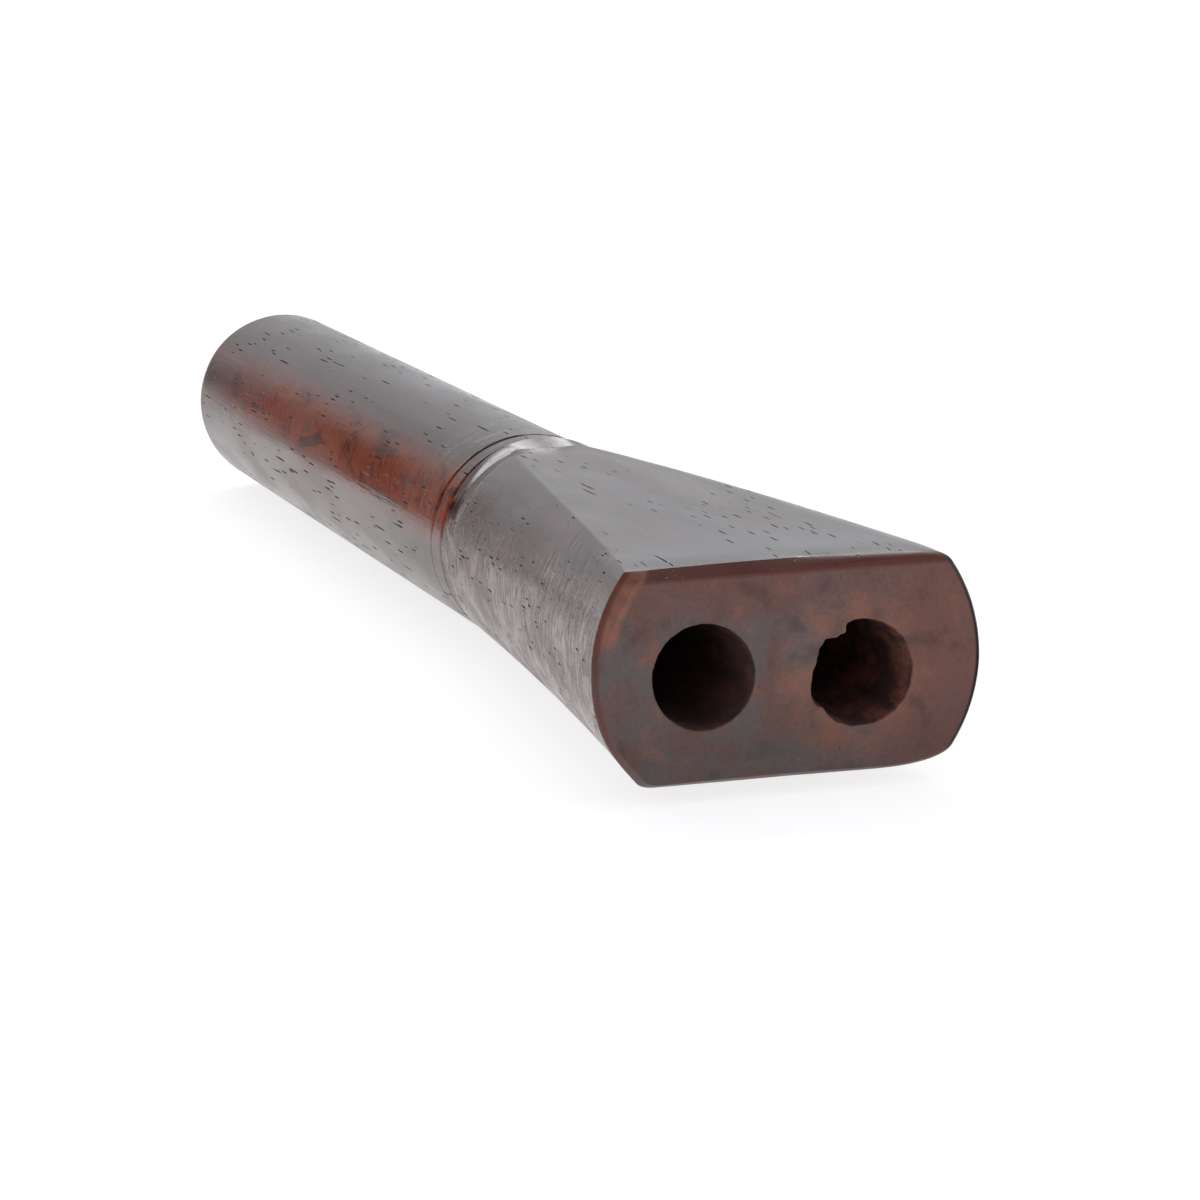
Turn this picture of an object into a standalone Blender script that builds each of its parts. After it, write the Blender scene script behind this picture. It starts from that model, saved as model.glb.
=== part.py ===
"""Two-socket wooden pen holder.

A broad head, flat above and below, carries two plain drilled sockets side by side in its front
end. Behind the waist comes a plain round stem. The stem is turned with a tenon, which is glued into
a mortise in the back of the head, and two scribed rings dress the joint.

Metres. The holder lies along Y on its stem, with the sockets towards -Y and +Z up. The origin is
below the middle of the holder, on the surface that it lies on.
"""

import math

import bmesh
import bpy

# Overall sizes
LENGTH = 0.125
HEAD_LENGTH = 0.0485
STEM_RADIUS = 0.0073
STEM_END_RADIUS = 0.0072

# Head: an arc on each side, a flat above that is parallel to the stem, and a flat below that
# thins the head towards its face. Heights are from the stem's axis.
FACE_HALF_WIDTH = 0.0122
FACE_SIDE_ARC = 0.0102
FACE_ARC_LIFT = 0.0004
UPPER_FLAT_HEIGHT = 0.0069
LOWER_FLAT_FACE_DROP = 0.0061
LOWER_FLAT_WAIST_DROP = 0.0071
SIDE_HOLLOW = 0.0004
RIM_CHAMFER_DEPTH = 0.0005
RIM_CHAMFER_SIDE = 0.0005
RIM_CHAMFER_FLAT = 0.00065

# Sockets: a quarter-inch drill, slightly off the middle and turned from the flats
SOCKET_RADIUS = 0.003175
SOCKET_DEPTH = 0.022
SOCKET_HALF_SPACING = 0.00497
SOCKET_SHIFT = -0.0004
SOCKET_LINE_TILT = math.radians(-2.5)
DRILL_POINT_HALF_ANGLE = math.radians(59)
CUTTER_OVERRUN = 0.002

# Glued joint at the waist
JOINT_GAP = 0.0003
TENON_RADIUS = 0.0037
MORTISE_DEPTH = 0.014
TENON_TIP_CHAMFER = 0.0005

# Scribed rings
RING_DEPTH = 0.0004
RING_RAMP = 0.0018
RING_HALF_WIDTH = 0.0003
RING_SPACING = 0.0024

STEM_END_ROUND = 0.0007

# Mesh fineness. Half an odd number of segments leaves a flat at the bottom of every turned piece.
TURNED_SEGMENTS = 42
SIDE_ARC_SEGMENTS = 20
END_ROUND_SEGMENTS = 4
HEAD_RING_STEPS = 10
MERGE = 0.000001
SHARP_ANGLE = math.radians(30)

WOOD_COLOUR = (0.130, 0.040, 0.026, 1.0)
WOOD_ROUGHNESS = 0.3


def clear_scene():
    for item in list(bpy.data.objects):
        bpy.data.objects.remove(item, do_unlink=True)


def wood(name):
    """A polished dark reddish-brown hardwood."""
    material = bpy.data.materials.new(name)
    material.use_nodes = True
    shader = material.node_tree.nodes["Principled BSDF"]
    shader.inputs["Base Color"].default_value = WOOD_COLOUR
    shader.inputs["Roughness"].default_value = WOOD_ROUGHNESS
    return material


def finish_object(name, bm, material=None):
    """Turn a closed bmesh into a named object with its faces pointing out."""
    bmesh.ops.remove_doubles(bm, verts=bm.verts, dist=MERGE)
    bmesh.ops.recalc_face_normals(bm, faces=bm.faces)
    mesh = bpy.data.meshes.new(name)
    bm.to_mesh(mesh)
    bm.free()
    mesh.shade_smooth()
    mesh.set_sharp_from_angle(angle=SHARP_ANGLE)
    if material:
        mesh.materials.append(material)
    item = bpy.data.objects.new(name, mesh)
    bpy.context.scene.collection.objects.link(item)
    return item


def turned(name, profile, material=None):
    """Spin a profile of (radius, y) points, which starts and ends on the axis, round the Y axis.

    The flats of the faceted result touch the true circle, so a socket takes a pin of its full radius.
    """
    bm = bmesh.new()
    to_corner = 1 / math.cos(math.pi / TURNED_SEGMENTS)
    points = [bm.verts.new((radius * to_corner, along, 0)) for radius, along in profile]
    edges = [bm.edges.new(pair) for pair in zip(points, points[1:])]
    bmesh.ops.spin(
        bm,
        geom=points + edges,
        cent=(0, 0, 0),
        axis=(0, 1, 0),
        angle=math.tau,
        steps=TURNED_SEGMENTS,
    )
    return finish_object(name, bm, material)


def head_section(half_width, side_arc, lift, top, bottom):
    """Outline of the head as (x, z) points: an arc on each side, joined by the two flats."""
    arc_centre = half_width - side_arc
    low = -math.asin(min(1, (lift - bottom) / side_arc))
    high = math.asin(min(1, (top - lift) / side_arc))
    angles = [low + (high - low) * i / SIDE_ARC_SEGMENTS for i in range(SIDE_ARC_SEGMENTS + 1)]
    right = [(arc_centre + side_arc * math.cos(a), lift + side_arc * math.sin(a)) for a in angles]
    left = [(-x, z) for x, z in reversed(right)]
    return right + left


def between(start, end, t):
    return start + (end - start) * t


def head_size(along):
    """Half width, side arc radius and lift, and the heights of the flats, behind the front face."""
    t = along / HEAD_LENGTH
    half_width = between(FACE_HALF_WIDTH, STEM_RADIUS, t) - 4 * SIDE_HOLLOW * t * (1 - t)
    side_arc = min(between(FACE_SIDE_ARC, STEM_RADIUS, t), half_width)
    lift = between(FACE_ARC_LIFT, 0, t)
    bottom = -between(LOWER_FLAT_FACE_DROP, LOWER_FLAT_WAIST_DROP, t)
    return half_width, side_arc, lift, UPPER_FLAT_HEIGHT, bottom


def head_sections():
    """Sections from the front face to the joint, as (y, outline) pairs."""
    half_width, side_arc, lift, top, bottom = head_size(0)
    rim = head_section(
        half_width - RIM_CHAMFER_SIDE,
        side_arc - RIM_CHAMFER_SIDE,
        lift,
        top - RIM_CHAMFER_FLAT,
        bottom + RIM_CHAMFER_FLAT,
    )
    sections = [(0, rim)]
    ramp_start = HEAD_LENGTH - RING_RAMP
    for step in range(HEAD_RING_STEPS + 1):
        along = between(RIM_CHAMFER_DEPTH, ramp_start, step / HEAD_RING_STEPS)
        sections.append((along, head_section(*head_size(along))))
    joint_radius = STEM_RADIUS - RING_DEPTH
    joint = head_section(joint_radius, joint_radius, 0, UPPER_FLAT_HEIGHT, -LOWER_FLAT_WAIST_DROP)
    sections.append((HEAD_LENGTH, joint))
    return sections


def head_blank():
    """The head before drilling: its sections bridged into one closed body."""
    bm = bmesh.new()
    previous = None
    for along, outline in head_sections():
        points = [bm.verts.new((x, along, z)) for x, z in outline]
        loop = [bm.edges.new(pair) for pair in zip(points, points[1:] + points[:1])]
        if previous is None:
            bm.faces.new(points)
        else:
            bmesh.ops.bridge_loops(bm, edges=previous + loop)
        previous = loop
    bm.faces.new(points)
    return bm


def drill(name, radius, depth, point_half_angle=None):
    """A cutter for a blind round hole along +Y, which starts a little outside its mouth at y = 0."""
    profile = [(0, -CUTTER_OVERRUN), (radius, -CUTTER_OVERRUN), (radius, depth)]
    tip = depth if point_half_angle is None else depth + radius / math.tan(point_half_angle)
    profile.append((0, tip))
    cutter = turned(name, profile)
    cutter.hide_render = True
    cutter.display_type = "WIRE"
    return cutter


def cut(target, cutter):
    modifier = target.modifiers.new(cutter.name, "BOOLEAN")
    modifier.operation = "DIFFERENCE"
    modifier.object = cutter
    modifier.solver = "EXACT"
    cutter.parent = target


def make_head(material):
    """Flared head with the two sockets in front and the mortise behind."""
    head = finish_object("head", head_blank(), material)
    for side, label in ((-1, "left"), (1, "right")):
        socket = drill(f"{label}_socket", SOCKET_RADIUS, SOCKET_DEPTH, DRILL_POINT_HALF_ANGLE)
        reach = side * SOCKET_HALF_SPACING
        socket.location = (
            SOCKET_SHIFT + reach * math.cos(SOCKET_LINE_TILT),
            0,
            reach * math.sin(SOCKET_LINE_TILT),
        )
        cut(head, socket)
    mortise = drill("mortise", TENON_RADIUS + JOINT_GAP, MORTISE_DEPTH)
    mortise.location = (0, HEAD_LENGTH, 0)
    mortise.rotation_euler = (0, 0, math.pi)
    cut(head, mortise)
    return head


def ring_groove(along):
    """Profile points of a scribed ring: a shallow V in the stem."""
    return [
        (STEM_RADIUS, along - RING_HALF_WIDTH),
        (STEM_RADIUS - RING_DEPTH, along),
        (STEM_RADIUS, along + RING_HALF_WIDTH),
    ]


def stem_profile(length):
    """Turned profile from the tenon's tip to the far end, with y = 0 at the shoulder."""
    tenon_length = MORTISE_DEPTH - 2 * JOINT_GAP
    profile = [
        (0, -tenon_length),
        (TENON_RADIUS - TENON_TIP_CHAMFER, -tenon_length),
        (TENON_RADIUS, TENON_TIP_CHAMFER - tenon_length),
        (TENON_RADIUS, 0),
        (STEM_RADIUS - RING_DEPTH, 0),
        (STEM_RADIUS, RING_HALF_WIDTH),
    ]
    profile += ring_groove(RING_SPACING)
    round_centre = (STEM_END_RADIUS - STEM_END_ROUND, length - STEM_END_ROUND)
    for step in range(END_ROUND_SEGMENTS + 1):
        angle = math.pi / 2 * step / END_ROUND_SEGMENTS
        profile.append(
            (
                round_centre[0] + STEM_END_ROUND * math.cos(angle),
                round_centre[1] + STEM_END_ROUND * math.sin(angle),
            )
        )
    profile.append((0, length))
    return profile


def make_stem(material):
    """Round stem with its scribed ring and the tenon that holds it in the head."""
    return turned("stem", stem_profile(LENGTH - HEAD_LENGTH - JOINT_GAP), material)


def build():
    clear_scene()
    holder = bpy.data.objects.new("pen_holder", None)
    bpy.context.scene.collection.objects.link(holder)
    holder.location = (0, -LENGTH / 2, STEM_RADIUS)
    head = make_head(wood("head_wood"))
    head.parent = holder
    stem = make_stem(wood("stem_wood"))
    stem.parent = holder
    stem.location = (0, HEAD_LENGTH + JOINT_GAP, 0)


build()
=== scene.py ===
"""Looks of the two-socket wooden pen holder.

Two finely shaped pieces, the head and the stem, stand for the two CAD nodes. They are of one dark
reddish hardwood, cut along the grain on the outside and across it on the end face. Metres throughout:
small lengths are written as a number of millimetres times MM.
"""

import math

import bmesh
import bpy
import numpy as np
from mathutils import Matrix, Vector, noise


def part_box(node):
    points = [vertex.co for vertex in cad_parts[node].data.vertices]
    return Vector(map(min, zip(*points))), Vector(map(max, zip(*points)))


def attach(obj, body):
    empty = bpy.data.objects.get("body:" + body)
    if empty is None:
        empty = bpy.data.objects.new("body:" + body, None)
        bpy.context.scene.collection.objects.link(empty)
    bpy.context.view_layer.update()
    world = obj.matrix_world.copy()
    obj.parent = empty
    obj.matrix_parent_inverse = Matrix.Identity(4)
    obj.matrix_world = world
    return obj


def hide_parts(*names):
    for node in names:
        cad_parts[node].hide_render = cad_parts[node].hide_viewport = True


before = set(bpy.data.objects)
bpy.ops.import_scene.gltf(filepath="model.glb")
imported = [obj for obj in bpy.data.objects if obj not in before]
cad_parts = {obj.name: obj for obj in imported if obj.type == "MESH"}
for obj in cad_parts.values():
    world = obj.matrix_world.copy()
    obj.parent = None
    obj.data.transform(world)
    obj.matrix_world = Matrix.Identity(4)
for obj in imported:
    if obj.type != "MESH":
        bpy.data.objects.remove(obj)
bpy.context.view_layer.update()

MM = 0.001

# Places that come from the frame. "Along" is the distance behind the face, towards +Y.
head_low, head_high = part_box("head")
stem_low, stem_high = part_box("stem")
FACE_Y = head_low.y
HEAD_LENGTH = head_high.y - head_low.y
LENGTH = stem_high.y - head_low.y
AXIS_Z = (stem_low.z + stem_high.z) / 2
TENON_TIP = stem_low.y - head_low.y

# Head: side arcs between two flats, with a little of the real one's unevenness. A direction whose
# sine is under LEAST_RISE meets no flat, which is written as a flat that is NO_FLAT away. The trim
# fades in between two directions, in degrees from +X.
FACE_HALF_WIDTH = 12.165 * MM
FACE_SIDE_ARC = 10.2 * MM
FACE_ARC_LIFT = 0.5 * MM
UPPER_FLAT = 6.83 * MM
UPPER_CROWN = 0.13 * MM
CROWN_HALF_WIDTH = 9 * MM
LOWER_LEFT_TRIM = 0.28 * MM
TRIM_FADES_IN = (192, 214)
FRONT_DROOP = 0.23 * MM
FRONT_DROOP_LENGTH = 3.5 * MM
LOWER_FLAT_FACE = 6.29 * MM
LOWER_FLAT_WAIST = 7.1 * MM
LEFT_HOLLOW = 0.45 * MM
RIGHT_HOLLOW = -0.25 * MM
LEAST_CORNER_REACH = 1.2 * MM
LEAST_RISE = 0.02
NO_FLAT = 30 * MM
EDGE_SOFTNESS = 0.07 * MM
FACE_SOFTNESS = {
    "upper_right": 1.2 * MM,
    "upper_left": 0.02 * MM,
    "lower_left": 0.5 * MM,
    "lower_right": 2.5 * MM,
}

# Waist and stem. The cove's place round the head is in sines of the angle above the middle, and the
# grooves fade out and in again at degrees from +X.
WAIST_RADIUS = 7.17 * MM
STEM_END_RADIUS = 7.02 * MM
WAIST_OFFSET = (-0.3 * MM, -0.10 * MM)
END_OFFSET = (0.25 * MM, -0.16 * MM)
STEM_END_ROUND = 2.1 * MM
END_GRAIN_PART = 0.4
COLLAR_SWELL = 0.22 * MM
COLLAR_RISE_START = 1.65 * MM
COLLAR_LENGTH = 0.42 * MM
COVE_DEPTH = 0.26 * MM
COVE_CENTRE = 2.3 * MM
COVE_HALF_LENGTH = 1.9 * MM
COVE_LOWER_EDGE = (0.15, 0.75)
COVE_UPPER_EDGE = (0.925, 0.96)
JOINT_GAP = 0.03 * MM
GROOVE_DEPTH = 0.5 * MM
GROOVE_FADES_OUT = (138, 180)
GROOVE_FADES_IN = (290, 330)
GROOVE_LOSS = 0.94
JOINT_HALF_WIDTH = 0.40 * MM
RING_DEPTH = 0.8 * GROOVE_DEPTH
RING_SPACING = 2.4 * MM
RING_HALF_WIDTH = 0.30 * MM

# Hand work on the surface. Rates are a number of changes in a metre, across or along the grain.
SWELL_HEIGHT = 0.020 * MM
SWELL_RATE_ACROSS = 240
SWELL_RATE_ALONG = 14
RIPPLE_HEIGHT = 0.006 * MM
RIPPLE_RATE_ACROSS = 800
RIPPLE_RATE_ALONG = 40
TEAR_DEPTH = 0.04 * MM
TEARS_START = (2 * MM, 6 * MM)
TEARS_STOP = (14 * MM, 26 * MM)
TEARS_SIDE = (-7.5 * MM, -8.6 * MM)
TEAR_RATES = (300, 2100, 1300)
TEAR_SLANT = 0.4
TEAR_THRESHOLD = 0.15

# Rim of the face: how far the chamfer cuts in, in millimetres, at each direction, in degrees from +X
RIM_DIRECTIONS = (-150, -90, -35, 0, 30, 90, 140, 152, 180, 200)
RIM_CUTS = (0.45, 0.30, 0.35, 0.20, 0.35, 0.42, 0.70, 0.90, 0.45, 0.42)
RIM_STEEPNESS = (1.3, 1.6, 3.0, 4.0, 2.5, 1.0, 1.0, 1.0, 1.2, 1.3)
RIM_DEPTH = 0.75 * MM
RIM_ROWS = 14

# Sockets. The torn mouth and its fray are given in millimetres. At each direction, in degrees from +X,
# the wall stands in (-) or is torn out (+).
SOCKET_RADIUS = 3.175 * MM
SOCKET_DEPTH = 22 * MM
SOCKET_HALF_SPACING = 4.97 * MM
SOCKET_SHIFT = -0.4 * MM
SOCKET_TILT = math.radians(-2.5)
DRILL_POINT = math.radians(59)
TORN_DIRECTIONS = (100, 109, 113, 126, 138, 150, 164, 180, 192, 203, 211, 218, 236, 257, 275)
TORN_BY = (0, -0.08, -0.58, -0.46, -0.08, -0.12, -0.19, -0.03, 0.12, 0.30, 0.28, 0, 0.14, 0.08, 0)
TORN_FADES_OUT = (0.35 * MM, 1.0 * MM)
FRAY = 0.07
FRAY_FADES_OUT = (0.3 * MM, 2.5 * MM)
FRAY_RATE_ROUND = 7
FRAY_RATE_INWARDS = 1200
MOUTH_ROW = 0.04 * MM
MOUTH_EASE = 0.07 * MM
MOUTH_EASE_DEPTH = 0.09 * MM
WALL_UNEVENNESS = 0.035 * MM
WALL_RATE_ROUND = 9
WALL_RATE_INWARDS = 350

# Mortise and tenon
MORTISE_RADIUS = 4.0 * MM
MORTISE_DEPTH = 14 * MM
TENON_RADIUS = 3.7 * MM
TENON_TIP_CHAMFER = 0.5 * MM

# Fineness. Rows are closer together by the waist, in the rim and near the mouths of the sockets.
SIDE_POINTS = 104
FLAT_POINTS = 76
CORNER_CROWDING = 0.8
HEAD_ROWS = 150
HEAD_FINE_LENGTH = 4.2 * MM
HEAD_FINE_ROWS = 60
SOCKET_POINTS = 144
SOCKET_ROWS = 26
MORTISE_POINTS = 96
STEM_POINTS = 264
STEM_ROWS = 210
STEM_FINE_LENGTH = 4 * MM
STEM_FINE_ROWS = 84
STEM_END_ROWS = 12
SHARP_ANGLE = math.radians(18)

# Places of the materials in each piece's list
LONG_GRAIN = 0
END_GRAIN = 1
SOCKET_WOOD = 2


def smooth_step(low, high, value):
    t = np.clip((value - low) / (high - low), 0, 1)
    return t * t * (3 - 2 * t)


def soft_min(a, b, softness):
    """The smaller of two radii, with the edge between them rounded over."""
    near = np.clip(softness - np.abs(a - b), 0, None) / softness
    return np.minimum(a, b) - near * near * softness / 4


def centre_at(along):
    """Centre (x, z) of a section: the stem isn't quite in line with the head."""
    if along <= HEAD_LENGTH:
        t = along / HEAD_LENGTH
        return WAIST_OFFSET[0] * t, AXIS_Z + WAIST_OFFSET[1] * t
    t = (along - HEAD_LENGTH) / (LENGTH - HEAD_LENGTH)
    x = WAIST_OFFSET[0] + (END_OFFSET[0] - WAIST_OFFSET[0]) * t
    z = WAIST_OFFSET[1] + (END_OFFSET[1] - WAIST_OFFSET[1]) * t
    return x, AXIS_Z + z


def side_shape(along, hollow):
    """Half width, arc radius and arc lift of one side of the head."""
    t = min(along / HEAD_LENGTH, 1)
    half_width = FACE_HALF_WIDTH + (WAIST_RADIUS - FACE_HALF_WIDTH) * t - 4 * hollow * t * (1 - t)
    arc = min(FACE_SIDE_ARC + (WAIST_RADIUS - FACE_SIDE_ARC) * t, half_width)
    return half_width, arc, FACE_ARC_LIFT * (1 - t)


def lower_flat(along):
    return LOWER_FLAT_FACE + (LOWER_FLAT_WAIST - LOWER_FLAT_FACE) * min(along / HEAD_LENGTH, 1)


def corner_angle(along, hollow, height):
    """Direction of the edge between a side arc and a flat, above or below the right-hand X axis."""
    half_width, arc, lift = side_shape(along, hollow)
    rise = height - lift
    reach = half_width - arc + math.sqrt(max(arc * arc - rise * rise, 0))
    return math.atan2(height, max(reach, LEAST_CORNER_REACH))


def spread(start, end, count):
    """Angles from start up to but not including end, closer together near both ends."""
    t = np.arange(count) / count
    return start + (end - start) * (t - CORNER_CROWDING * np.sin(math.tau * t) / math.tau)


def section_angles(along):
    upper_right = corner_angle(along, RIGHT_HOLLOW, UPPER_FLAT)
    upper_left = math.pi - corner_angle(along, LEFT_HOLLOW, UPPER_FLAT)
    lower = lower_flat(along)
    lower_left = math.pi + corner_angle(along, LEFT_HOLLOW, lower)
    lower_right = -corner_angle(along, RIGHT_HOLLOW, lower)
    return np.concatenate(
        [
            spread(lower_right, upper_right, SIDE_POINTS),
            spread(upper_right, upper_left, FLAT_POINTS),
            spread(upper_left, lower_left, SIDE_POINTS),
            spread(lower_left, lower_right + math.tau, FLAT_POINTS),
        ]
    )


def groove_strength(angle):
    """The rings were scribed by hand: full over the top, and fading out down the left side."""
    degrees = np.degrees(angle) % 360
    fading_out = smooth_step(*GROOVE_FADES_OUT, degrees)
    fading_in = smooth_step(*GROOVE_FADES_IN, degrees)
    return 1 - GROOVE_LOSS * fading_out * (1 - fading_in)


def head_radius(along, angle):
    """Radius of the head's skin in each direction, from the section's centre."""
    right = np.cos(angle) >= 0
    shapes = side_shape(along, RIGHT_HOLLOW), side_shape(along, LEFT_HOLLOW)
    half_width, arc, lift = (np.where(right, a, b) for a, b in zip(*shapes))
    across, up = np.abs(np.cos(angle)), np.sin(angle)
    offset = half_width - arc
    toward = across * offset + up * lift
    side = toward + np.sqrt(np.maximum(toward**2 - offset**2 - lift**2 + arc**2, 0))

    t = min(along / HEAD_LENGTH, 1)
    trimmed = np.where(right, 0, smooth_step(*TRIM_FADES_IN, np.degrees(angle) % 360))
    side = side - LOWER_LEFT_TRIM * (1 - t) * trimmed
    steep = np.maximum(np.abs(up), LEAST_RISE)
    x = UPPER_FLAT / steep * np.cos(angle)
    top = UPPER_FLAT + UPPER_CROWN * (1 - t) * (1 - np.minimum((x / CROWN_HALF_WIDTH) ** 2, 1))
    top = top - FRONT_DROOP * max(0, 1 - along / FRONT_DROOP_LENGTH) ** 2
    upper = np.where(up > LEAST_RISE, top / steep, NO_FLAT)
    lower = np.where(up < -LEAST_RISE, lower_flat(along) / steep, NO_FLAT)
    soft = {corner: EDGE_SOFTNESS + size * (1 - t) for corner, size in FACE_SOFTNESS.items()}
    upper_soft = np.where(right, soft["upper_right"], soft["upper_left"])
    lower_soft = np.where(right, soft["lower_right"], soft["lower_left"])
    radius = soft_min(side, np.minimum(upper, NO_FLAT), upper_soft)
    radius = soft_min(radius, np.minimum(lower, NO_FLAT), lower_soft)

    # A shallow cove on the left, beside the upper flat, then the rise to the collar, then its groove
    from_joint = HEAD_LENGTH - along
    cove = math.cos(math.pi / 2 * min(abs(from_joint - COVE_CENTRE) / COVE_HALF_LENGTH, 1)) ** 2
    beside_flat = smooth_step(*COVE_LOWER_EDGE, up) * (1 - smooth_step(*COVE_UPPER_EDGE, up))
    radius = radius - COVE_DEPTH * cove * np.where(right, 0, beside_flat)
    rise = min(max((COLLAR_RISE_START - from_joint) / (COLLAR_RISE_START - COLLAR_LENGTH), 0), 1)
    collar = WAIST_RADIUS + COLLAR_SWELL * np.maximum(up, 0) ** 2
    radius = radius + (collar - radius) * rise
    groove = GROOVE_DEPTH * max(0, 1 - from_joint / JOINT_HALF_WIDTH)
    return radius - groove * groove_strength(angle)


def unevenness(x, y, z):
    """Small swells left by hand sanding, longer along the grain than across it."""
    across = SWELL_RATE_ACROSS
    swell = noise.noise(Vector((x * across, y * SWELL_RATE_ALONG, z * across)))
    across = RIPPLE_RATE_ACROSS
    ripple = noise.noise(Vector((x * across + 7, y * RIPPLE_RATE_ALONG, z * across)))
    return SWELL_HEIGHT * swell + RIPPLE_HEIGHT * ripple


def torn_grain(x, y, z):
    """Depth of the little upright tears that the cutter left on the head's left side."""
    along = y - FACE_Y
    place = float(smooth_step(*TEARS_START, along) * (1 - smooth_step(*TEARS_STOP, along)))
    side = float(smooth_step(*TEARS_SIDE, x))
    if place * side <= 0:
        return 0
    rate_x, rate_y, rate_z = TEAR_RATES
    tears = noise.noise(Vector((x * rate_x, y * rate_y, (z + TEAR_SLANT * y) * rate_z)))
    return TEAR_DEPTH * place * side * max(0, tears - TEAR_THRESHOLD)


def skin_point(along, angle, radius):
    centre_x, centre_z = centre_at(along)
    x = centre_x + radius * math.cos(angle)
    z = centre_z + radius * math.sin(angle)
    y = FACE_Y + along
    swell = unevenness(x, y, z) - torn_grain(x, y, z)
    return (x + swell * math.cos(angle), y, z + swell * math.sin(angle))


class Body:
    """Collects points and faces, each with a material number, and turns them into one closed mesh."""

    def __init__(self):
        self.bm = bmesh.new()

    def loop(self, points):
        return [self.bm.verts.new(p) for p in points]

    def bridge(self, first, second, material):
        """Quads between two loops with the same number of points."""
        count = len(first)
        for i in range(count):
            j = (i + 1) % count
            face = self.bm.faces.new((first[i], first[j], second[j], second[i]))
            face.material_index = material
            face.smooth = True

    def fill(self, loops, material):
        """A flat sheet inside the first loop, with the other loops as its holes."""
        edges = []
        for loop in loops:
            for pair in zip(loop, loop[1:] + loop[:1]):
                edges.append(self.bm.edges.get(pair) or self.bm.edges.new(pair))
        made = bmesh.ops.triangle_fill(self.bm, use_beauty=True, edges=edges)
        for face in made["geom"]:
            if isinstance(face, bmesh.types.BMFace):
                face.material_index = material
                face.smooth = True

    def cap(self, loop, tip, material):
        """A fan from a loop to one point."""
        apex = self.bm.verts.new(tip)
        for i, vert in enumerate(loop):
            face = self.bm.faces.new((vert, loop[(i + 1) % len(loop)], apex))
            face.material_index = material
            face.smooth = True

    def finish(self, name, materials):
        bmesh.ops.recalc_face_normals(self.bm, faces=self.bm.faces)
        mesh = bpy.data.meshes.new(name)
        self.bm.to_mesh(mesh)
        self.bm.free()
        mesh.set_sharp_from_angle(angle=SHARP_ANGLE)
        for material in materials:
            mesh.materials.append(material)
        item = bpy.data.objects.new(name, mesh)
        bpy.context.scene.collection.objects.link(item)
        return item


def round_table(degrees, directions, values):
    """Values given at a few directions of a circle, read off between them."""
    start = directions[0]
    turned = (degrees - start) % 360 + start
    return np.interp(turned, (*directions, start + 360), (*values, values[0]))


def rim_cut(angle, in_rim):
    """How far the rounded rim cuts in; `in_rim` goes from 0 at its back to 1 in the face."""
    degrees = np.degrees(angle)
    steepness = round_table(degrees, RIM_DIRECTIONS, RIM_STEEPNESS)
    return round_table(degrees, RIM_DIRECTIONS, RIM_CUTS) * MM * in_rim**steepness


def socket_centre(side):
    reach = side * SOCKET_HALF_SPACING
    return SOCKET_SHIFT + reach * math.cos(SOCKET_TILT), AXIS_Z + reach * math.sin(SOCKET_TILT)


def torn_mouth(angle, depth):
    """How far the right-hand socket's wall stands in (-) or is torn out (+) near its mouth."""
    torn = round_table(math.degrees(angle), TORN_DIRECTIONS, TORN_BY)
    inside = 1 - float(smooth_step(*TORN_FADES_OUT, depth))
    noise_x = math.cos(angle) * FRAY_RATE_ROUND
    noise_y = math.sin(angle) * FRAY_RATE_ROUND
    ragged = noise.noise(Vector((noise_x, noise_y, depth * FRAY_RATE_INWARDS)))
    fray = FRAY * ragged * (1 - float(smooth_step(*FRAY_FADES_OUT, depth)))
    return (torn * inside + fray) * MM


def add_socket(body, side):
    """One drilled socket, from the loop in the face to the drill point. Returns the loop in the face."""
    centre_x, centre_z = socket_centre(side)
    angles = [math.tau * i / SOCKET_POINTS for i in range(SOCKET_POINTS)]
    # The rows crowd towards the mouth, and those before the third would lie in front of MOUTH_ROW
    near_mouth = [0, MOUTH_ROW]
    further_in = [SOCKET_DEPTH * (i / SOCKET_ROWS) ** 2.5 for i in range(3, SOCKET_ROWS + 1)]
    previous = None
    for depth in near_mouth + further_in:
        points = []
        for angle in angles:
            eased = MOUTH_EASE * max(0, 1 - depth / MOUTH_EASE_DEPTH) ** 2
            noise_x = math.cos(angle) * WALL_RATE_ROUND + side * 3
            noise_y = math.sin(angle) * WALL_RATE_ROUND
            uneven = noise.noise(Vector((noise_x, noise_y, depth * WALL_RATE_INWARDS)))
            radius = SOCKET_RADIUS + eased + WALL_UNEVENNESS * uneven
            if side > 0:
                radius += torn_mouth(angle, depth)
            x = centre_x + radius * math.cos(angle)
            z = centre_z + radius * math.sin(angle)
            points.append((x, FACE_Y + depth, z))
        loop = body.loop(points)
        if previous is None:
            mouth = loop
        else:
            body.bridge(previous, loop, END_GRAIN if depth <= MOUTH_ROW else SOCKET_WOOD)
        previous = loop
    tip = SOCKET_DEPTH + SOCKET_RADIUS / math.tan(DRILL_POINT)
    body.cap(previous, (centre_x, FACE_Y + tip, centre_z), SOCKET_WOOD)
    return mouth


def ring_points(radius, along, count):
    """A plain circle round the stem's middle line."""
    centre_x, centre_z = centre_at(max(along, HEAD_LENGTH))
    points = []
    for i in range(count):
        angle = math.tau * i / count
        x = centre_x + radius * math.cos(angle)
        points.append((x, FACE_Y + along, centre_z + radius * math.sin(angle)))
    return points


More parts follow.
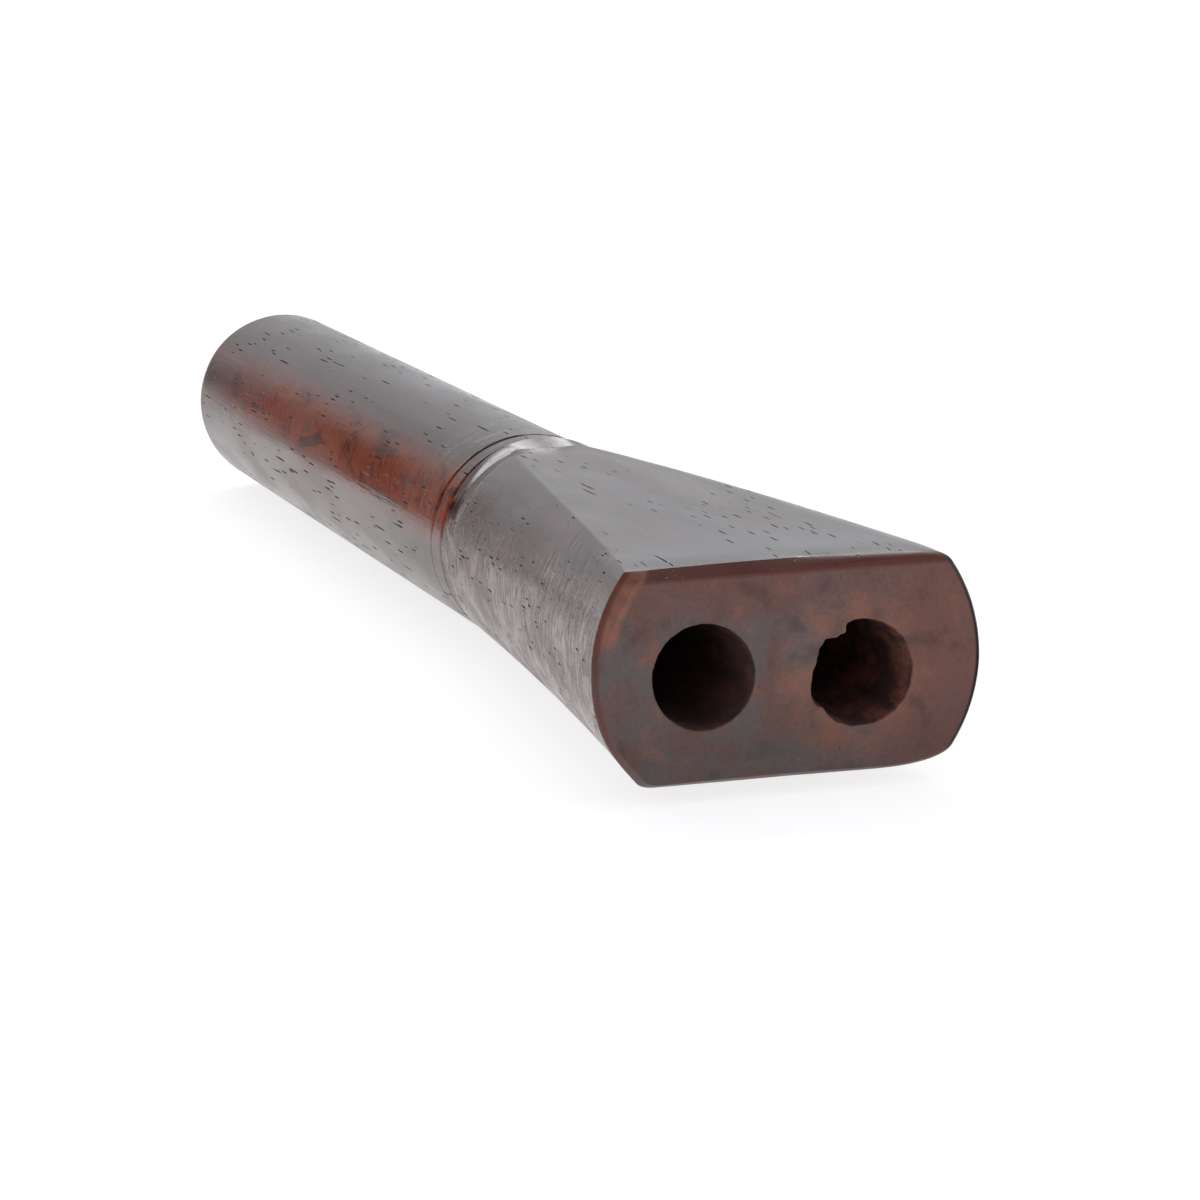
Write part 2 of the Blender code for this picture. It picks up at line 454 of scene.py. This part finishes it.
def make_head(long_grain, end_grain, socket_wood):
    """Flared head: rim chamfer, skin, collar, sockets in front and the tenon's mortise behind."""
    body = Body()
    rim_rows = [RIM_DEPTH * i / RIM_ROWS for i in range(RIM_ROWS)]
    fine_start = HEAD_LENGTH - HEAD_FINE_LENGTH
    skin_rows = list(np.linspace(RIM_DEPTH, fine_start, HEAD_ROWS))
    fine_rows = list(np.linspace(fine_start, HEAD_LENGTH, HEAD_FINE_ROWS))[1:]
    previous = face_loop = None
    for along in rim_rows + skin_rows + fine_rows:
        angles = section_angles(along)
        radius = head_radius(along, angles)
        in_rim = max(0, 1 - along / RIM_DEPTH)
        if in_rim > 0:
            radius = radius - rim_cut(angles, in_rim)
        loop = body.loop([skin_point(along, a, r) for a, r in zip(angles, radius)])
        if previous is None:
            for vert in loop:
                vert.co.y = FACE_Y
            face_loop = loop
        else:
            body.bridge(previous, loop, END_GRAIN if along <= RIM_DEPTH else LONG_GRAIN)
        previous = loop
    mouths = [add_socket(body, side) for side in (-1, 1)]
    body.fill([face_loop] + mouths, END_GRAIN)

    for vert in previous:
        vert.co.y = FACE_Y + HEAD_LENGTH
    centre_x, centre_z = centre_at(HEAD_LENGTH)
    mortise_floor = HEAD_LENGTH - MORTISE_DEPTH
    mouth = body.loop(ring_points(MORTISE_RADIUS, HEAD_LENGTH, MORTISE_POINTS))
    floor_loop = body.loop(ring_points(MORTISE_RADIUS, mortise_floor, MORTISE_POINTS))
    body.fill([previous, mouth], SOCKET_WOOD)
    body.bridge(mouth, floor_loop, SOCKET_WOOD)
    body.cap(floor_loop, (centre_x, FACE_Y + mortise_floor, centre_z), SOCKET_WOOD)
    return body.finish("head_wood_body", [long_grain, end_grain, socket_wood])


def stem_radius(along, angle):
    """Radius of the stem behind its shoulder, with the scribed ring and the rounded end."""
    behind = along - HEAD_LENGTH
    t = behind / (LENGTH - HEAD_LENGTH)
    radius = WAIST_RADIUS + (STEM_END_RADIUS - WAIST_RADIUS) * t
    groove = GROOVE_DEPTH * max(0, 1 - behind / JOINT_HALF_WIDTH)
    groove += RING_DEPTH * max(0, 1 - abs(behind - RING_SPACING) / RING_HALF_WIDTH)
    radius = radius - groove * groove_strength(angle)
    left = LENGTH - along
    if left < STEM_END_ROUND:
        lean = 1 - left / STEM_END_ROUND
        radius -= STEM_END_ROUND * (1 - math.sqrt(max(0, 1 - lean * lean)))
    return radius


def stem_rows():
    start = HEAD_LENGTH + JOINT_GAP
    fine_end = start + STEM_FINE_LENGTH
    fine = list(np.linspace(start, fine_end, STEM_FINE_ROWS))
    middle = list(np.linspace(fine_end, LENGTH - STEM_END_ROUND, STEM_ROWS))[1:]
    turn = [math.pi / 2 * i / STEM_END_ROWS for i in range(1, STEM_END_ROWS + 1)]
    end = [LENGTH - STEM_END_ROUND * (1 - math.sin(a)) for a in turn]
    return fine + middle + end


def make_stem(long_grain, end_grain):
    """Round stem: tenon, shoulder, scribed ring, and the far end with its edge rounded over."""
    body = Body()
    angles = [math.tau * i / STEM_POINTS for i in range(STEM_POINTS)]

    def ring(radius, along):
        return body.loop(ring_points(radius, along, STEM_POINTS))

    shoulder = HEAD_LENGTH + JOINT_GAP
    tip_x, tip_z = centre_at(HEAD_LENGTH)
    tip = ring(TENON_RADIUS - TENON_TIP_CHAMFER, TENON_TIP)
    body.cap(tip, (tip_x, FACE_Y + TENON_TIP, tip_z), LONG_GRAIN)
    wide = ring(TENON_RADIUS, TENON_TIP + TENON_TIP_CHAMFER)
    body.bridge(tip, wide, LONG_GRAIN)
    root = ring(TENON_RADIUS, shoulder)
    body.bridge(wide, root, LONG_GRAIN)
    previous = root
    for along in stem_rows():
        radius = stem_radius(along, np.array(angles))
        loop = body.loop([skin_point(along, a, r) for a, r in zip(angles, radius)])
        near_end = LENGTH - along < END_GRAIN_PART * STEM_END_ROUND
        body.bridge(previous, loop, END_GRAIN if near_end else LONG_GRAIN)
        previous = loop
    for vert in previous:
        vert.co.y = FACE_Y + LENGTH
    end_x, end_z = centre_at(LENGTH)
    inner = ring(0.5 * STEM_END_RADIUS, LENGTH)
    body.bridge(previous, inner, END_GRAIN)
    body.cap(inner, (end_x, FACE_Y + LENGTH, end_z), END_GRAIN)
    return body.finish("stem_wood_body", [long_grain, end_grain])


class Graph:
    """A material's nodes. Each call but to_shader adds one node and returns its output."""

    def __init__(self, name):
        self.material = bpy.data.materials.new(name)
        self.material.use_nodes = True
        self.tree = self.material.node_tree
        self.shader = self.tree.nodes["Principled BSDF"]
        self.place = self.tree.nodes.new("ShaderNodeTexCoord").outputs["Object"]

    def add(self, kind, output, inputs, **settings):
        node = self.tree.nodes.new(kind)
        for name, value in settings.items():
            setattr(node, name, value)
        for name, value in inputs.items():
            if isinstance(value, bpy.types.NodeSocket):
                self.tree.links.new(value, node.inputs[name])
            else:
                node.inputs[name].default_value = value
        return node.outputs[output]

    def stretched(self, across, along, shift=0.0, place=None):
        """Coordinates whose unit is `across` millimetres over the grain and `along` with it."""
        scale = (1 / (across * MM), 1 / (along * MM), 1 / (across * MM))
        inputs = {"Vector": place or self.place, "Scale": scale, "Location": (shift, shift, shift)}
        return self.add("ShaderNodeMapping", "Vector", inputs)

    def noise(self, place, detail=2.0, roughness=0.5, distortion=0.0):
        inputs = {"Vector": place, "Scale": 1.0, "Detail": detail}
        inputs |= {"Roughness": roughness, "Distortion": distortion}
        return self.add("ShaderNodeTexNoise", "Fac", inputs)

    def cells(self, place):
        inputs = {"Vector": place, "Scale": 1.0, "Randomness": 1.0}
        return self.add("ShaderNodeTexVoronoi", "Distance", inputs)

    def ramp(self, value, low, high, to_low=0.0, to_high=1.0):
        """`value` brought smoothly from the range low..high to the range to_low..to_high."""
        inputs = {"Value": value, "From Min": low, "From Max": high, "To Min": to_low, "To Max": to_high}
        return self.add("ShaderNodeMapRange", "Result", inputs, interpolation_type="SMOOTHSTEP")

    def maths(self, operation, first, second):
        node = self.tree.nodes.new("ShaderNodeMath")
        node.operation = operation
        for socket, value in zip(node.inputs, (first, second)):
            if isinstance(value, bpy.types.NodeSocket):
                self.tree.links.new(value, socket)
            else:
                socket.default_value = value
        return node.outputs[0]

    def times(self, first, second):
        return self.maths("MULTIPLY", first, second)

    def mix(self, factor, first, second):
        """Two colours, each a socket or an (r, g, b), mixed by a factor."""
        node = self.tree.nodes.new("ShaderNodeMix")
        node.data_type = "RGBA"
        for place, value in ((0, factor), (6, first), (7, second)):
            if isinstance(value, bpy.types.NodeSocket):
                self.tree.links.new(value, node.inputs[place])
            else:
                node.inputs[place].default_value = value if place == 0 else (*value, 1)
        return node.outputs[2]

    def axis(self, letter):
        return self.add("ShaderNodeSeparateXYZ", letter, {"Vector": self.place})

    def bump(self, height, depth, normal=None):
        inputs = {"Height": height, "Distance": depth, "Strength": 1.0}
        if normal is not None:
            inputs["Normal"] = normal
        return self.add("ShaderNodeBump", "Normal", inputs)

    def to_shader(self, **inputs):
        """Sets the shader's inputs, each a socket or a value, and returns the finished material."""
        for name, value in inputs.items():
            socket = self.shader.inputs[name.replace("_", " ")]
            if isinstance(value, bpy.types.NodeSocket):
                self.tree.links.new(value, socket)
            else:
                socket.default_value = value
        return self.material


WOOD_DARK = (0.022, 0.009, 0.008)
WOOD_MIDDLE = (0.058, 0.023, 0.017)
WOOD_LIGHT = (0.095, 0.040, 0.029)
# Orange of the head's sanding scratches, and also painted light: the glow on the stem's left side
ORANGE_SCRATCHES_AND_GLOW = (0.265, 0.048, 0.016)
# Grey painted on the upper flat near the face as its sheen
PAINTED_SHEEN_GREY = (0.150, 0.134, 0.134)
WORN_RED = (0.170, 0.062, 0.040)
PORE_COLOUR = (0.006, 0.004, 0.004)
WOOD_IOR = 1.43


def pore_layer(graph, across, along, size, shift, spread_low, spread_high):
    """Open vessels: short dashes along the grain, gathered into loose groups."""
    wander = graph.noise(graph.stretched(2.5, 16, shift), detail=2)
    distance = graph.cells(graph.stretched(across, along, shift))
    groups = graph.ramp(wander, spread_low, spread_high)
    return graph.times(graph.ramp(distance, size, 0.6 * size), groups)


def long_grain(graph, seed, more_pores=0.0):
    """Colour, fibres and pores of wood along its grain, for a material to add to."""
    broad = graph.noise(graph.stretched(5, 80, seed), detail=2)
    streak = graph.noise(graph.stretched(1.5, 50, seed + 3), detail=3, roughness=0.6)
    fibre = graph.noise(graph.stretched(0.25, 6, seed + 5), detail=2, roughness=0.6)
    colour = graph.mix(graph.ramp(broad, 0.35, 0.7), WOOD_MIDDLE, WOOD_LIGHT)
    colour = graph.mix(graph.ramp(streak, 0.50, 0.70, 0, 0.85), colour, WOOD_DARK)
    colour = graph.mix(graph.ramp(fibre, 0.40, 0.75, 0, 0.5), colour, WOOD_DARK)
    start = 0.44 - more_pores
    long_pores = pore_layer(graph, 0.6, 15, 0.12, seed + 11, start, start + 0.1)
    short_pores = pore_layer(graph, 0.36, 5, 0.18, seed + 17, start, start + 0.1)
    pores = graph.maths("MAXIMUM", long_pores, short_pores)
    return colour, fibre, pores


def finish_long_grain(graph, colour, fibre, pores, seed, scratches, polish):
    """Adds pores, sheen and relief to a long-grain colour and closes the material."""
    colour = graph.mix(graph.times(pores, 0.95), colour, PORE_COLOUR)
    haze = graph.noise(graph.stretched(3, 10, seed + 23), detail=3)
    roughness = graph.ramp(haze, 0.3, 0.7, 0.17, 0.27)
    roughness = graph.maths("ADD", roughness, graph.times(pores, 0.5))
    relief = graph.bump(graph.ramp(fibre, 0.2, 0.8), 0.006 * MM)
    ripple = graph.noise(graph.stretched(1.5, 5, seed + 29), detail=2)
    relief = graph.bump(ripple, 0.010 * MM, relief)
    relief = graph.bump(scratches, 0.04 * MM, relief)
    roughness = graph.maths("ADD", roughness, graph.times(scratches, 0.08))
    relief = graph.bump(graph.maths("SUBTRACT", 1, pores), 0.07 * MM, relief)
    shine = graph.times(polish, graph.ramp(pores, 0.0, 1.0, 1.0, 0.1))
    return graph.to_shader(
        Base_Color=colour,
        Roughness=roughness,
        Normal=relief,
        Specular_IOR_Level=shine,
        IOR=WOOD_IOR,
    )


def across_strokes(graph, width, length, seed):
    """Short strokes round the piece, across the grain, like sanding scratches and torn fibres."""
    return graph.noise(graph.stretched(length, width, seed), detail=3, roughness=0.65)


def head_long_grain():
    """The head's sides and flats, with torn fibres and sanding marks on the lower left side, and a
    painted grey sheen on the upper flat near the face.
    """
    graph = Graph("head_long_grain")
    colour, fibre, pores = long_grain(graph, 0.0)
    x, y, z = (graph.axis(letter) for letter in "XYZ")
    left = graph.ramp(x, -4.5 * MM, -7.0 * MM)
    low = graph.ramp(z, AXIS_Z + 5.5 * MM, AXIS_Z + 1 * MM)
    near_waist = graph.ramp(y, FACE_Y + HEAD_LENGTH - 14 * MM, FACE_Y + HEAD_LENGTH - 3 * MM)
    place = graph.times(left, graph.maths("MAXIMUM", low, near_waist))
    patches = graph.noise(graph.stretched(2.6, 4, 53), detail=3, distortion=0.8)
    patches = graph.ramp(patches, 0.42, 0.58)
    strokes = graph.ramp(across_strokes(graph, 0.22, 1.5, 31), 0.42, 0.66)
    scratches = graph.times(graph.times(strokes, place), patches)
    # Painted sheen: the upper flat is greyed towards the face, standing in for its grazing reflection
    on_flat = graph.ramp(z, AXIS_Z + 6.0 * MM, AXIS_Z + 6.5 * MM)
    near_face = graph.ramp(y, FACE_Y + 16 * MM, FACE_Y + 1 * MM, 0, 0.7)
    colour = graph.mix(graph.times(on_flat, near_face), colour, PAINTED_SHEEN_GREY)
    worn = graph.times(place, graph.maths("SUBTRACT", 1.0, patches))
    torn = graph.times(graph.ramp(across_strokes(graph, 0.45, 1.5, 37), 0.52, 0.59), worn)
    colour = graph.mix(graph.times(scratches, 0.35), colour, ORANGE_SCRATCHES_AND_GLOW)
    colour = graph.mix(graph.times(worn, 0.35), colour, WORN_RED)
    colour = graph.mix(graph.times(torn, 0.9), colour, PORE_COLOUR)
    polish = graph.ramp(z, AXIS_Z + 1 * MM, AXIS_Z - 5 * MM, 0.50, 0.42)
    polish = graph.times(polish, graph.ramp(worn, 0.0, 1.0, 1.0, 0.75))
    polish = graph.times(polish, graph.ramp(torn, 0.0, 1.0, 1.0, 0.2))
    return finish_long_grain(graph, colour, fibre, pores, 0.0, scratches, polish)


def stem_long_grain():
    """The stem: a bright orange glow painted along its left side, where lit body colour shows under the
    dark reflection, and fine lathe marks near the waist.
    """
    seed = 40.0
    graph = Graph("stem_long_grain")
    colour, fibre, pores = long_grain(graph, seed, more_pores=0.05)
    x, y, z = (graph.axis(letter) for letter in "XYZ")
    figure = graph.noise(graph.stretched(2.2, 9, seed + 41), detail=4, roughness=0.6, distortion=0.6)
    # Painted light: the stem's left side is coloured bright orange where lit body colour shows under the
    # dark card's reflection, and it shines less there
    left = graph.ramp(x, -1.5 * MM, -5.0 * MM)
    below_top = graph.ramp(z, AXIS_Z + 6 * MM, AXIS_Z + 4 * MM)
    level = graph.times(below_top, graph.ramp(z, AXIS_Z - 1 * MM, AXIS_Z + 2 * MM))
    not_end = graph.ramp(y, FACE_Y + LENGTH - 3 * MM, FACE_Y + LENGTH - 28 * MM, 0.40, 1.0)
    uneven = graph.times(not_end, graph.ramp(figure, 0.30, 0.52, 0.35, 1.0))
    painted_orange_side = graph.times(graph.times(left, level), uneven)
    colour = graph.mix(painted_orange_side, colour, ORANGE_SCRATCHES_AND_GLOW)
    colour = graph.mix(graph.ramp(figure, 0.52, 0.66, 0, 0.7), colour, WOOD_DARK)
    slant = graph.add("ShaderNodeMapping", "Vector", {"Vector": graph.place, "Rotation": (0.5, 0, 0)})
    curl = graph.noise(graph.stretched(2.0, 0.28, seed + 47, slant), detail=2, distortion=0.5)
    colour = graph.mix(graph.times(painted_orange_side, graph.ramp(curl, 0.50, 0.70, 0, 0.6)), colour, WOOD_DARK)
    marks = graph.noise(graph.stretched(6, 0.16, seed + 43), detail=2)
    near_waist = graph.ramp(y, FACE_Y + HEAD_LENGTH + 13 * MM, FACE_Y + HEAD_LENGTH + 3 * MM)
    upper = graph.ramp(z, AXIS_Z + 1 * MM, AXIS_Z + 4 * MM, 0.15, 0.7)
    scratches = graph.times(graph.ramp(marks, 0.52, 0.70), graph.times(near_waist, upper))
    polish = graph.ramp(z, AXIS_Z + 2 * MM, AXIS_Z - 4 * MM, 0.43, 0.28)
    polish = graph.times(polish, graph.ramp(painted_orange_side, 0.0, 1.0, 1.0, 0.35))
    return finish_long_grain(graph, colour, fibre, pores, seed, scratches, polish)


FACE_GREY = (0.118, 0.094, 0.092)
FACE_BROWN = (0.138, 0.074, 0.064)
FACE_RED = (0.165, 0.072, 0.058)
FACE_ORANGE = (0.275, 0.108, 0.072)
RIM_RED = (0.095, 0.020, 0.013)
RIM_DARK = (0.006, 0.004, 0.004)
END_GRAIN_IOR = 1.45
END_GRAIN_SHINE = 0.25


def distance_from(graph, x, z):
    """Distance over the face from a place, given as (x, z) from the frame's middle line."""
    shift = {"Vector": graph.place, "Location": (-x, 0, -z), "Scale": (1, 0, 1)}
    moved = graph.add("ShaderNodeMapping", "Vector", shift)
    return graph.add("ShaderNodeVectorMath", "Value", {0: moved}, operation="LENGTH")


def around(graph, x, z, radius, soft):
    """1 at a place on the face, fading out round it."""
    return graph.ramp(distance_from(graph, x, z), radius + soft, radius - soft)


def end_grain_material():
    """Sanded end grain: duller, with soft clouds of orange and brown, tiny pores and fine scratches."""
    graph = Graph("end_grain_wood")
    across = graph.axis("X")
    height = graph.axis("Z")
    cloud = graph.noise(graph.stretched(3.5, 9, 2), detail=3, roughness=0.55, distortion=0.4)
    mottle = graph.noise(graph.stretched(1.9, 9, 5), detail=2, roughness=0.45, distortion=0.15)
    grit = graph.noise(graph.stretched(0.22, 4, 9), detail=2)
    colour = graph.mix(graph.ramp(cloud, 0.38, 0.62), FACE_GREY, FACE_BROWN)

    centre_x, centre_z = socket_centre(1)
    halo = around(graph, centre_x, centre_z, 4.3 * MM, 1.9 * MM)
    patchy = graph.ramp(mottle, 0.36, 0.60, 0.25, 1.0)
    colour = graph.mix(graph.times(graph.times(halo, patchy), 0.85), colour, FACE_ORANGE)
    right = graph.ramp(across, 4 * MM, 10 * MM, 0, 0.8)
    colour = graph.mix(right, colour, FACE_RED)
    high = graph.ramp(height, AXIS_Z + 2 * MM, AXIS_Z + 6 * MM, 0, 0.6)
    colour = graph.mix(high, colour, FACE_RED)
    colour = graph.mix(graph.ramp(mottle, 0.54, 0.74, 0, 0.45), colour, FACE_ORANGE)
    colour = graph.mix(graph.ramp(mottle, 0.46, 0.27, 0, 0.32), colour, WOOD_DARK)
    colour = graph.mix(graph.ramp(grit, 0.40, 0.75, 0, 0.15), colour, WOOD_DARK)

    lower = graph.ramp(height, AXIS_Z - 0.5 * MM, AXIS_Z - 5 * MM, 0, 0.27)
    colour = graph.mix(lower, colour, WOOD_DARK)
    top = graph.ramp(height, AXIS_Z + UPPER_FLAT - 1.0 * MM, AXIS_Z + UPPER_FLAT - 0.6 * MM)
    colour = graph.mix(graph.times(top, 0.92), colour, RIM_RED)
    arc_centre = FACE_HALF_WIDTH - FACE_SIDE_ARC
    arc_height = AXIS_Z + FACE_ARC_LIFT
    from_left_arc = distance_from(graph, -arc_centre, arc_height)
    crescent = graph.ramp(from_left_arc, FACE_SIDE_ARC - 1.35 * MM, FACE_SIDE_ARC - 1.05 * MM)
    crescent = graph.times(crescent, graph.ramp(across, -6.5 * MM, -8.5 * MM))
    crescent = graph.times(crescent, graph.ramp(height, AXIS_Z + 1.2 * MM, AXIS_Z + 3.6 * MM))
    crescent = graph.times(crescent, graph.ramp(mottle, 0.38, 0.58, 0.25, 1))
    colour = graph.mix(crescent, colour, FACE_ORANGE)
    left_edge = graph.ramp(from_left_arc, FACE_SIDE_ARC - 0.50 * MM, FACE_SIDE_ARC - 0.25 * MM)
    left_edge = graph.times(left_edge, graph.ramp(across, -7 * MM, -9 * MM, 0, 0.75))
    colour = graph.mix(left_edge, colour, RIM_RED)
    from_right_arc = distance_from(graph, arc_centre, arc_height)
    right_edge = graph.ramp(from_right_arc, FACE_SIDE_ARC - 0.46 * MM, FACE_SIDE_ARC - 0.28 * MM)
    right_edge = graph.times(right_edge, graph.ramp(across, 7 * MM, 9 * MM))
    colour = graph.mix(right_edge, colour, RIM_DARK)
    pores = graph.ramp(graph.cells(graph.stretched(0.6, 12, 13)), 0.12, 0.06)
    colour = graph.mix(graph.times(pores, 0.25), colour, PORE_COLOUR)
    roughness = graph.ramp(mottle, 0.3, 0.7, 0.34, 0.46)
    relief = graph.bump(grit, 0.008 * MM)
    relief = graph.bump(graph.maths("SUBTRACT", 1, pores), 0.02 * MM, relief)
    relief = graph.bump(mottle, 0.04 * MM, relief)
    return graph.to_shader(
        Base_Color=colour,
        Roughness=roughness,
        Normal=relief,
        IOR=END_GRAIN_IOR,
        Specular_IOR_Level=END_GRAIN_SHINE,
    )


SOCKET_DARK = (0.070, 0.038, 0.034)
SOCKET_RED = (0.230, 0.080, 0.058)


def socket_material():
    """Drilled wall: rough, dark and reddish, with rings left by the drill, and painted light that makes
    it redder towards +X, so the right socket looks lit and the left one shaded.
    """
    graph = Graph("drilled_wood")
    patch = graph.noise(graph.stretched(1.2, 3, 4), detail=4, roughness=0.6)
    rings = graph.noise(graph.stretched(2.5, 0.35, 7), detail=2)
    # Painted light: the walls grow redder towards +X, lighting the right socket and leaving the left one
    # dark
    painted_light_to_right = graph.ramp(graph.axis("X"), 0, 6 * MM, 0.35, 1.3)
    colour = graph.mix(graph.times(graph.ramp(patch, 0.40, 0.65), painted_light_to_right), SOCKET_DARK, SOCKET_RED)
    colour = graph.mix(graph.ramp(rings, 0.45, 0.7, 0, 0.4), colour, SOCKET_DARK)
    roughness = graph.ramp(patch, 0.3, 0.7, 0.55, 0.8)
    relief = graph.bump(rings, 0.05 * MM)
    relief = graph.bump(patch, 0.25 * MM, relief)
    return graph.to_shader(Base_Color=colour, Roughness=roughness, Normal=relief)


FLOOR_DARKER = (0.36, 0.37, 0.38)
FLOOR_PALER = (0.38, 0.39, 0.40)
FLOOR_GLOW = 0.80


def floor_material():
    """Lit-up white table top, so bright that the holder leaves only a faint shadow on it."""
    graph = Graph("pale_floor")
    soft = graph.noise(graph.stretched(40, 40), detail=2)
    colour = graph.mix(graph.ramp(soft, 0.3, 0.7), FLOOR_DARKER, FLOOR_PALER)
    return graph.to_shader(
        Base_Color=colour,
        Roughness=0.8,
        Emission_Color=(1, 1, 1, 1),
        Emission_Strength=FLOOR_GLOW,
    )


# Light. Bearings are in degrees round from +Y towards +X, so the dark card stands behind on the left.
SURROUND_LOW = (0.79, 0.80, 0.83)
SURROUND_HIGH = (0.50, 0.52, 0.55)
SOFTBOX_DIRECTION = Vector((-0.04, 0.67, 0.74))
SOFTBOX_DISTANCE = 0.9
SOFTBOX_SIZE = (1.15, 0.42)
SOFTBOX_BRIGHTNESS = 6.6
CARD_DISTANCE = 0.6
CARD_NEAR = 0.11
CARD_BEARINGS = (-25, -12)
CARD_TOP = math.radians(13.5)
CARD_BLACK = (0.01, 0.009, 0.009, 1)
CARD_ABOVE_FLOOR = 0.5 * MM
FLOOR_HALF_SIDE = 3.0


def make_sheet(name, corners, material):
    """One flat sheet of the studio, such as its floor."""
    mesh = bpy.data.meshes.new(name)
    mesh.from_pydata(corners, [], [tuple(range(len(corners)))])
    mesh.materials.append(material)
    sheet = bpy.data.objects.new(name, mesh)
    bpy.context.scene.collection.objects.link(sheet)
    return sheet


def light_studio():
    """White surround, one brighter softbox above and behind, and a dark card low at the left back."""
    world = bpy.data.worlds.new("white_surround")
    world.use_nodes = True
    sky = world.node_tree.nodes
    links = world.node_tree.links
    direction = sky.new("ShaderNodeTexCoord").outputs["Generated"]
    parts = sky.new("ShaderNodeSeparateXYZ")
    links.new(direction, parts.inputs[0])
    blend = sky.new("ShaderNodeValToRGB")
    links.new(parts.outputs["Z"], blend.inputs["Fac"])
    blend.color_ramp.interpolation = "EASE"
    blend.color_ramp.elements[0].position = 0.45
    blend.color_ramp.elements[0].color = (*SURROUND_LOW, 1)
    blend.color_ramp.elements[1].position = 0.75
    blend.color_ramp.elements[1].color = (*SURROUND_HIGH, 1)
    links.new(blend.outputs["Color"], sky["Background"].inputs["Color"])

    # The surround is a little dimmer on the left
    dimmer = sky.new("ShaderNodeMapRange")
    links.new(parts.outputs["X"], dimmer.inputs["Value"])
    for name, value in (("From Min", -0.5), ("From Max", 0.35), ("To Min", 0.78), ("To Max", 1.0)):
        dimmer.inputs[name].default_value = value
    links.new(dimmer.outputs["Result"], sky["Background"].inputs["Strength"])
    bpy.context.scene.world = world

    waist = Vector((0, FACE_Y + HEAD_LENGTH, AXIS_Z))
    box = bpy.data.lights.new("softbox", "AREA")
    box.shape = "RECTANGLE"
    box.size, box.size_y = SOFTBOX_SIZE
    box.energy = SOFTBOX_BRIGHTNESS * math.pi * box.size * box.size_y
    softbox = bpy.data.objects.new("softbox", box)
    softbox.location = waist + SOFTBOX_DIRECTION.normalized() * SOFTBOX_DISTANCE
    softbox.rotation_euler = SOFTBOX_DIRECTION.to_track_quat("Z", "Y").to_euler()
    softbox.visible_diffuse = False
    bpy.context.scene.collection.objects.link(softbox)

    turns = ((-1, -1), (1, -1), (1, 1), (-1, 1))
    corners = [(x * FLOOR_HALF_SIDE, y * FLOOR_HALF_SIDE, 0) for x, y in turns]
    make_sheet("floor", corners, floor_material())

    # The dark card has a part that stands and a part that lies in front of it, just above the floor
    black = Graph("dark_card").to_shader(Base_Color=CARD_BLACK, Roughness=0.9)
    left, right = (Vector((math.sin(b), math.cos(b), 0)) for b in map(math.radians, CARD_BEARINGS))
    on_floor = Vector((waist.x, waist.y, CARD_ABOVE_FLOOR))
    top = Vector((0, 0, CARD_DISTANCE * math.tan(CARD_TOP)))
    far = (on_floor + left * CARD_DISTANCE, on_floor + right * CARD_DISTANCE)
    near = (on_floor + right * CARD_NEAR, on_floor + left * CARD_NEAR)
    cards = {
        "dark_card_standing": (*far, far[1] + top, far[0] + top),
        "dark_card_lying": (*far, *near),
    }
    for name, corners in cards.items():
        card = make_sheet(name, corners, black)
        card.visible_camera = False
        card.visible_diffuse = False
        card.visible_shadow = False


# The photograph's camera, fitted to the holder. Lens and sensor are in millimetres.
CAMERA_PLACE = Vector((-0.09308, -0.31696, 0.06353))
CAMERA_AIM = Vector((-0.00336, -0.0365, 0.00740))
CAMERA_ROLL = math.radians(-0.949)
CAMERA_LENS = 140.89
CAMERA_SENSOR = 36


def place_camera():
    camera = bpy.data.cameras.new("camera")
    camera.lens = CAMERA_LENS
    camera.sensor_width = CAMERA_SENSOR
    camera.clip_start = 0.01
    ahead = (CAMERA_AIM - CAMERA_PLACE).normalized()
    level = ahead.cross(Vector((0, 0, 1))).normalized()
    upright = level.cross(ahead)
    right = level * math.cos(CAMERA_ROLL) + upright * math.sin(CAMERA_ROLL)
    up = upright * math.cos(CAMERA_ROLL) - level * math.sin(CAMERA_ROLL)
    item = bpy.data.objects.new("camera", camera)
    turn = Matrix((right, up, -ahead)).transposed().to_4x4()
    item.matrix_world = Matrix.Translation(CAMERA_PLACE) @ turn
    bpy.context.scene.collection.objects.link(item)
    bpy.context.scene.camera = item
    bpy.context.scene.view_settings.view_transform = "Standard"


def main():
    end_grain = end_grain_material()
    head = make_head(head_long_grain(), end_grain, socket_material())
    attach(head, "root")
    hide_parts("head")

    stem = make_stem(stem_long_grain(), end_grain)
    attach(stem, "root")
    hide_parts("stem")

    light_studio()
    place_camera()


main()
